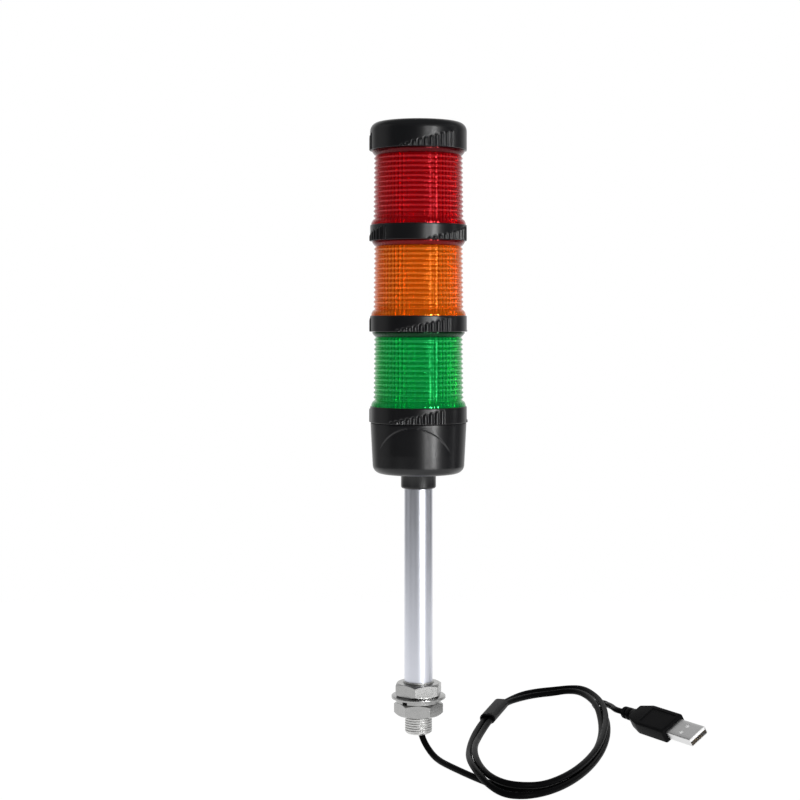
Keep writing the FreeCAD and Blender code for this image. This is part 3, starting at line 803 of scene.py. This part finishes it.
def makeThreadedEnd():
    look = threadShape
    outline = [(look["bore"], look["low"]), (look["radius"] - look["lead"], look["low"])]
    rows = int((look["shoulder"] - look["low"]) / look["rise"])
    for k in range(rows + 1):
        height = look["low"] + 0.05 + (look["shoulder"] - look["low"] - 0.1) * k / rows
        outline.append((look["radius"], height))
    outline += [
        (look["radius"], look["shoulder"]), (look["shoulderRadius"] - 0.15, look["shoulder"]),
        (look["shoulderRadius"], look["shoulder"] + 0.15), (look["shoulderRadius"], poleShape["low"] - 0.15),
        (look["shoulderRadius"] - 0.15, poleShape["low"]), (look["spigot"], poleShape["low"]),
        (look["spigot"], look["end"]), (look["bore"], look["end"]),
    ]
    bm = bmesh.new()
    turnedShell(bm, outline, look["steps"])
    for vert in bm.verts:
        if abs(radiusOf(vert) - look["radius"]) > 0.01 or vert.co.z > look["shoulder"] - 0.02:
            continue
        turn = math.atan2(vert.co.y, vert.co.x) / (2 * math.pi)
        wave = (vert.co.z / look["pitch"] - turn) % 1.0
        ridge = min(1.0, abs(wave - 0.5) * 2 * 1.25)
        above = vert.co.z - look["low"]
        limit = look["radius"] - max(0.0, look["lead"] - above)
        radius = min(look["radius"] - look["depth"] * (1 - ridge), limit)
        vert.co.x *= radius / look["radius"]
        vert.co.y *= radius / look["radius"]
    outwards(bm)
    return newPiece("threadedEnd", bm, "base", threadNickel, ("threaded_end",), 50.0)


nutShape = {
    "acrossFlats": 22.0, "height": 6.5, "bore": 7.05, "mouth": 8.15, "mouthDepth": 1.1, "step": 0.2,
    "chamfer": 0.3, "edge": 0.22, "steps": 120,
}
flatWasherShape = {"bore": 7.3, "radius": 13.9, "low": 8.5, "high": 9.9}
lockWasherShape = {
    "bore": 7.3, "radius": 11.4, "low": 6.55, "high": 8.45, "halfGap": 1.2, "middle": 9.3, "start": -128,
    "steps": 96,
}


def makeNut(name, node, low, turn):
    look = nutShape
    high = low + look["height"]
    half = look["acrossFlats"] / 2
    flat = half - look["step"]
    bm = bmesh.new()
    turnedShell(bm, [
        (look["bore"], low + look["mouthDepth"]), (look["mouth"], low), (flat, low),
        (half, low + look["chamfer"]), (half, high - look["chamfer"]), (flat, high), (look["mouth"], high),
        (look["bore"], high - look["mouthDepth"]),
    ], look["steps"])
    for vert in bm.verts:
        if abs(radiusOf(vert) - half) > 0.01:
            continue
        angle = math.degrees(math.atan2(vert.co.y, vert.co.x)) % 60 - 30
        reach = half / math.cos(math.radians(angle))
        drop = (reach - flat) * math.tan(math.radians(30))
        vert.co.z = low + drop if vert.co.z < low + 1 else high - drop
        vert.co.x *= reach / half
        vert.co.y *= reach / half
    corners = []
    for edge in bm.edges:
        a, b = edge.verts
        if abs(a.co.z - b.co.z) > 2 and radiusOf(a) > half + 1.0 and radiusOf(b) > half + 1.0:
            angle = math.degrees(math.atan2(a.co.y, a.co.x)) % 60
            if min(angle, 60 - angle) < 0.5:
                corners.append(edge)
    bmesh.ops.bevel(bm, geom=corners, offset=look["edge"], offset_type="OFFSET", segments=2, profile=0.5,
                    affect="EDGES", material=-1)
    bmesh.ops.rotate(bm, cent=(0, 0, 0), matrix=Matrix.Rotation(math.radians(turn), 3, "Z"), verts=bm.verts)
    outwards(bm)
    return newPiece(name, bm, "base", nickelPlate, (node,), 28.0)


def makeWashers():
    flat = bmesh.new()
    look = flatWasherShape
    radius = look["radius"]
    turnedShell(flat, [
        (look["bore"], look["low"]), (radius - 0.25, look["low"]), (radius - 0.05, look["low"] + 0.1),
        (radius, look["low"] + 0.25), (radius, look["high"] - 0.25), (radius - 0.05, look["high"] - 0.1),
        (radius - 0.25, look["high"]), (look["bore"], look["high"]),
    ], poleShape["steps"])
    outwards(flat)
    newPiece("flatWasher", flat, "base", nickelPlate, ("flat_washer",))
    lock = bmesh.new()
    look = lockWasherShape
    radius = look["radius"]
    gap = math.degrees(math.asin(look["halfGap"] / look["middle"]))
    corners = [
        (look["bore"], look["low"]), (look["bore"], look["high"]), (radius - 0.2, look["high"]),
        (radius, look["high"] - 0.15), (radius, look["low"] + 0.15), (radius - 0.2, look["low"]),
    ]
    verts = [lock.verts.new((r, 0.0, z)) for r, z in corners]
    face = lock.faces.new(verts)
    turn = Matrix.Rotation(math.radians(look["start"] + gap), 3, "Z")
    bmesh.ops.rotate(lock, cent=(0, 0, 0), matrix=turn, verts=verts)
    bmesh.ops.spin(lock, geom=[face] + list(face.edges) + verts, cent=(0, 0, 0), axis=(0, 0, 1),
                   angle=math.radians(360 - 2 * gap), steps=look["steps"], use_merge=False)
    outwards(lock)
    newPiece("lockWasher", lock, "base", nickelPlate, ("lock_washer",))


makePole()
makeThreadedEnd()
makeNut("lowerNut", "lower_nut", 0.0, -2.0)
makeNut("upperNut", "upper_nut", flatWasherShape["high"], 22.0)
makeWashers()
print("metal parts made")


# sleeve tie round the loop
def makeTie():
    look = tieLook
    bm = bmesh.new()
    loops = []
    for inset in (0.0, look["wall"]):
        radius = look["height"] / 2 - inset
        half = look["width"] / 2 - inset - radius
        ring = []
        for k in range(look["sides"]):
            angle = 2 * math.pi * (k + 0.5) / look["sides"]
            side = half if math.cos(angle) > 0 else -half
            ring.append((side + radius * math.cos(angle), radius * math.sin(angle)))
        loops.append(ring)
    ends = []
    half = look["length"] / 2
    edge = look["endEdge"]
    stations = [(-half, 1, 0.0), (-half, 0, -edge), (-half + edge, 0, 0.0),
                (half - edge, 0, 0.0), (half, 0, -edge), (half, 1, 0.0)]
    for x, ring, grow in stations:
        row = []
        for y, z in loops[ring]:
            share = 1 + grow / (look["width"] / 2)
            row.append(bm.verts.new((x, y * share, z * share + look["height"] / 2)))
        ends.append(row)
    for first, second in zip(ends, ends[1:] + ends[:1]):
        for k in range(look["sides"]):
            after = (k + 1) % look["sides"]
            bm.faces.new((first[k], first[after], second[after], second[k]))
    stud = Matrix.Translation((-half + look["studAt"], look["studAside"], look["height"] - 0.05))
    bmesh.ops.create_cone(bm, cap_ends=True, segments=32, radius1=look["studRadius"],
                          radius2=look["studTop"], depth=look["studHeight"], matrix=stud)
    turn = Matrix.Rotation(math.radians(look["heading"]), 3, "Z")
    bmesh.ops.rotate(bm, cent=(0, 0, 0), matrix=turn, verts=bm.verts)
    bmesh.ops.translate(bm, vec=(look["x"], look["y"], floorZ), verts=bm.verts)
    outwards(bm)
    return newPiece("coilTie", bm, "base", plugMoulding, ("coil_tie",))


# type A plug
plugShape = {
    "x": 113.9, "y": 60.2, "heading": -59.0, "lean": 60.0, "lift": 7.0,
    "width": 16.0, "thickness": 8.0, "length": 32.5, "relief": 10.0,
    "shoulder": 3.0, "shoulderLength": 9.0, "edge": 1.3, "panelMargin": 2.4, "panelDepth": 0.45,
    "shellWidth": 12.0, "shellThickness": 4.5, "shellLength": 18.8, "shellWall": 0.35, "shellRoot": 4.0,
    "hole": 2.4, "holeAt": 0.42, "holeOffset": 2.5, "shellCorner": 0.7, "cornerSteps": 4,
    "panelEdge": 0.25, "panelArea": 60,
}
# the strain relief's rings are parted by grooves, and each ring is a little wider than the last
reliefShape = {"ring": 2.6, "groove": 1.2, "grooves": 2, "grow": 0.1, "floor": 2.4, "root": 3.9, "steps": 48}


def plugPlace(bm):
    look = plugShape
    lean = Matrix.Rotation(math.radians(-look["lean"]), 3, "X")
    turn = Matrix.Rotation(math.radians(look["heading"]), 3, "Z") @ lean
    bmesh.ops.rotate(bm, cent=(0, 0, 0), matrix=turn, verts=bm.verts)
    bmesh.ops.translate(bm, vec=(look["x"], look["y"], floorZ + look["lift"]), verts=bm.verts)
    outwards(bm)


def makePlugBody():
    look = plugShape
    bm = bmesh.new()
    rear = look["relief"]
    front = rear + look["length"]
    half = look["width"] / 2
    side = look["thickness"] / 2
    waist = rear + look["shoulderLength"]
    rows = []
    for x, z in ((rear, half - look["shoulder"]), (waist, half), (front, half)):
        corners = ((-side, -z), (side, -z), (side, z), (-side, z))
        rows.append([bm.verts.new((x, cornerY, cornerZ)) for cornerY, cornerZ in corners])
    for first, second in zip(rows, rows[1:]):
        for k in range(4):
            bm.faces.new((first[k], first[(k + 1) % 4], second[(k + 1) % 4], second[k]))
    bm.faces.new(rows[0])
    bm.faces.new(rows[-1])
    outwards(bm)
    edges = [e for e in bm.edges if e.calc_face_angle(0.0) > 0.05]
    bmesh.ops.bevel(bm, geom=edges, offset=look["edge"], offset_type="OFFSET", segments=5, profile=0.5,
                    affect="EDGES", material=-1)
    bm.faces.ensure_lookup_table()
    panels = []
    for face in bm.faces:
        if abs(face.normal.y) > 0.99 and face.calc_area() > look["panelArea"]:
            if face.calc_center_median().x > waist:
                panels.append(face)
    for sign in (-1, 1):
        picked = [f for f in panels if f.normal.y * sign > 0]
        bmesh.ops.inset_region(bm, faces=picked, thickness=look["panelMargin"] - look["edge"], depth=0.0,
                               use_even_offset=True)
        bmesh.ops.inset_region(bm, faces=picked, thickness=look["panelEdge"], depth=-look["panelDepth"],
                               use_even_offset=True)
    relief = reliefShape
    floor = relief["floor"]
    outline = [(0.0, 0.0), (0.0, 2.9), (0.1, 3.2), (0.35, 3.3)]
    for k in range(relief["grooves"]):
        at = relief["ring"] * (k + 1) + relief["groove"] * k
        past = at + relief["groove"]
        more = relief["grow"] * k
        outline += [(at - 0.3, 3.35 + more), (at - 0.05, 3.25 + more), (at, 3.0), (at, floor), (past, floor),
                    (past, 3.1 + more), (past + 0.1, 3.35 + more), (past + 0.3, 3.45 + more)]
    outline += [(look["relief"] + 1.0, relief["root"]), (look["relief"] + 1.0, 0.0)]
    verts = [bm.verts.new((x, 0.0, r)) for x, r in outline]
    edges = [bm.edges.new(pair) for pair in zip(verts, verts[1:] + verts[:1])]
    bmesh.ops.spin(bm, geom=verts + edges, cent=(0, 0, 0), axis=(1, 0, 0), angle=2 * math.pi,
                   steps=relief["steps"], use_merge=True)
    bmesh.ops.remove_doubles(bm, verts=bm.verts, dist=1e-4)
    plugPlace(bm)
    return newPiece("plugBody", bm, "base", plugMoulding, ("plug_body",), 38.0)


def makePlugShell():
    look = plugShape
    front = look["relief"] + look["length"]
    low = front - look["shellRoot"]
    high = front + look["shellLength"]
    hole = front + look["shellLength"] * look["holeAt"]
    halfZ = look["shellWidth"] / 2
    halfY = look["shellThickness"] / 2
    corner = look["shellCorner"]
    steps = look["cornerSteps"]
    section = []

    def addCorner(y, z, start):
        for k in range(steps + 1):
            angle = math.radians(start - 90 * k / steps)
            section.append((y + corner * math.cos(angle), z + corner * math.sin(angle)))

    cuts = []
    for middle in (-look["holeOffset"], look["holeOffset"]):
        cuts += [middle - look["hole"] / 2, middle + look["hole"] / 2]
    for z in cuts:
        section.append((-halfY, z))
    addCorner(-(halfY - corner), halfZ - corner, 180)
    addCorner(halfY - corner, halfZ - corner, 90)
    for z in reversed(cuts):
        section.append((halfY, z))
    addCorner(halfY - corner, -(halfZ - corner), 0)
    addCorner(-(halfY - corner), -(halfZ - corner), -90)
    bm = bmesh.new()
    rows = [[bm.verts.new((x, y, z)) for y, z in section] for x in (low, hole, hole + look["hole"], high)]
    count = len(section)
    # the two windows in each broad side, by row and place in the section
    holes = {(1, 0), (1, 2), (1, 14), (1, 16)}
    for j in range(3):
        for k in range(count):
            after = (k + 1) % count
            if (j, k) not in holes:
                bm.faces.new((rows[j][k], rows[j][after], rows[j + 1][after], rows[j + 1][k]))
    outwards(bm)
    bmesh.ops.solidify(bm, geom=list(bm.faces), thickness=look["shellWall"])
    plugPlace(bm)
    return newPiece("plugShell", bm, "base", shellSteel, ("plug_shell",))


makeTie()
makePlugBody()
makePlugShell()
print("plug and tie made")


# materials of the parts that keep their plain solids
nodeLooks = {
    "base_insert": blackMoulding, "base_screws": nickelPlate, "base_seal": sealRubber,
    "base_board": circuitBoard, "inner_cable": cableJacket, "plug_tongue": whitePlastic,
    "plug_contacts": goldPlate,
}
for colour in ("green", "amber", "red"):
    nodeLooks[colour + "_column"] = whitePlastic
    nodeLooks[colour + "_leds"] = ledPhosphor
    nodeLooks[colour + "_board"] = circuitBoard
    nodeLooks[colour + "_contacts"] = goldPlate
    nodeLooks[colour + "_seal"] = sealRubber
for name, material in nodeLooks.items():
    nodes[name].data.materials.clear()
    nodes[name].data.materials.append(material)

# floor, backdrop, lamps and sky
floorLook = {"half": 0.45, "glow": 1.05, "share": 0.93, "first": 0.78, "second": 0.82, "patch": 3.0}


def makeStage():
    look = floorLook
    material, shader = newMaterial("paleFloor")
    seen = shader.node("ShaderNodeLightPath", {}, {}, "Is Camera Ray")
    glossy = shader.node("ShaderNodeLightPath", {}, {}, "Is Glossy Ray")
    through = shader.node("ShaderNodeLightPath", {}, {}, "Is Transmission Ray")
    patch = shader.noise(look["patch"], 2.0)
    plain = shader.node("ShaderNodeBsdfPrincipled", {}, {
        "Base Color": shader.blend(patch, grey(look["first"]), grey(look["second"])),
        "Roughness": 0.9, "Specular IOR Level": 0.1,
    })
    white = shader.node("ShaderNodeEmission", {}, {"Color": grey(1.0), "Strength": look["glow"]})
    amount = (seen + glossy + through).clamp() * look["share"]
    shader.finish(shader.node("ShaderNodeMixShader", {}, {0: amount, 1: plain, 2: white}))
    bm = bmesh.new()
    bmesh.ops.create_grid(bm, x_segments=1, y_segments=1, size=look["half"],
                          matrix=Matrix.Translation((0, 0, floorZ * mm)))
    mesh = bpy.data.meshes.new("floor")
    bm.to_mesh(mesh)
    bm.free()
    floor = bpy.data.objects.new("floor", mesh)
    bpy.context.scene.collection.objects.link(floor)
    mesh.materials.append(material)


makeStage()

lampLooks = {
    "mainSoftbox": {"side": 38.0, "distance": 0.9, "height": 0.10, "size": (0.06, 0.72), "power": 5.0},
    "stripSoftbox": {"side": 20.0, "distance": 0.95, "height": 0.10, "size": (0.024, 0.72), "power": 2.0},
    "rightFill": {"side": 95.0, "distance": 0.9, "height": 0.40, "size": (0.05, 1.2), "power": 0.4},
    "leftFill": {"side": -95.0, "distance": 1.1, "height": 0.45, "size": (0.80, 1.2), "power": 0.9},
}


def makeLamp(name, look):
    data = bpy.data.lights.new(name, "AREA")
    data.shape = "RECTANGLE"
    data.size, data.size_y = look["size"]
    data.energy = look["power"]
    lamp = bpy.data.objects.new(name, data)
    side = math.radians(look["side"])
    place = Vector((look["distance"] * math.sin(side), -look["distance"] * math.cos(side), look["height"]))
    lamp.location = place
    # each lamp faces the pole's axis at its own height
    aim = Vector((0, 0, look["height"])) - place
    lamp.rotation_euler = aim.to_track_quat("-Z", "Y").to_euler()
    bpy.context.scene.collection.objects.link(lamp)


for name, look in lampLooks.items():
    makeLamp(name, look)


# mirrored directions: the pale backdrop behind the object, a dim studio in front and a paler ceiling
skyLook = {
    "front": 0.02, "up": 0.16, "backdrop": 1.0, "turn": 0.45, "blur": 0.55, "diffuse": 0.75, "through": 0.6,
}


def makeSky():
    look = skyLook
    world = bpy.data.worlds.new("sky")
    bpy.context.scene.world = world
    world.use_nodes = True
    shader = Shader(world.node_tree)
    direction = shader.node("ShaderNodeTexCoord", output="Generated")
    y = shader.axis("Y", direction)
    z = shader.axis("Z", direction)
    behind = ((y - look["turn"]) / look["blur"]).clamp()
    studio = z.clamp() * (look["up"] - look["front"]) + look["front"]
    mirrored = behind * (look["backdrop"] - studio) + studio
    camera = shader.node("ShaderNodeLightPath", {}, {}, "Is Camera Ray")
    glossy = shader.node("ShaderNodeLightPath", {}, {}, "Is Glossy Ray")
    through = shader.node("ShaderNodeLightPath", {}, {}, "Is Transmission Ray")
    lit = (1.0 - (glossy + through).clamp()) * look["diffuse"]
    strength = glossy * mirrored + through * look["through"] + lit
    strength = camera + (1.0 - camera) * strength
    tone = shader.node("ShaderNodeBackground", {}, {"Color": grey(1.0), "Strength": strength})
    shader.finish(tone, "ShaderNodeOutputWorld")


makeSky()
bpy.context.scene.view_settings.view_transform = "Standard"
print("stage made")
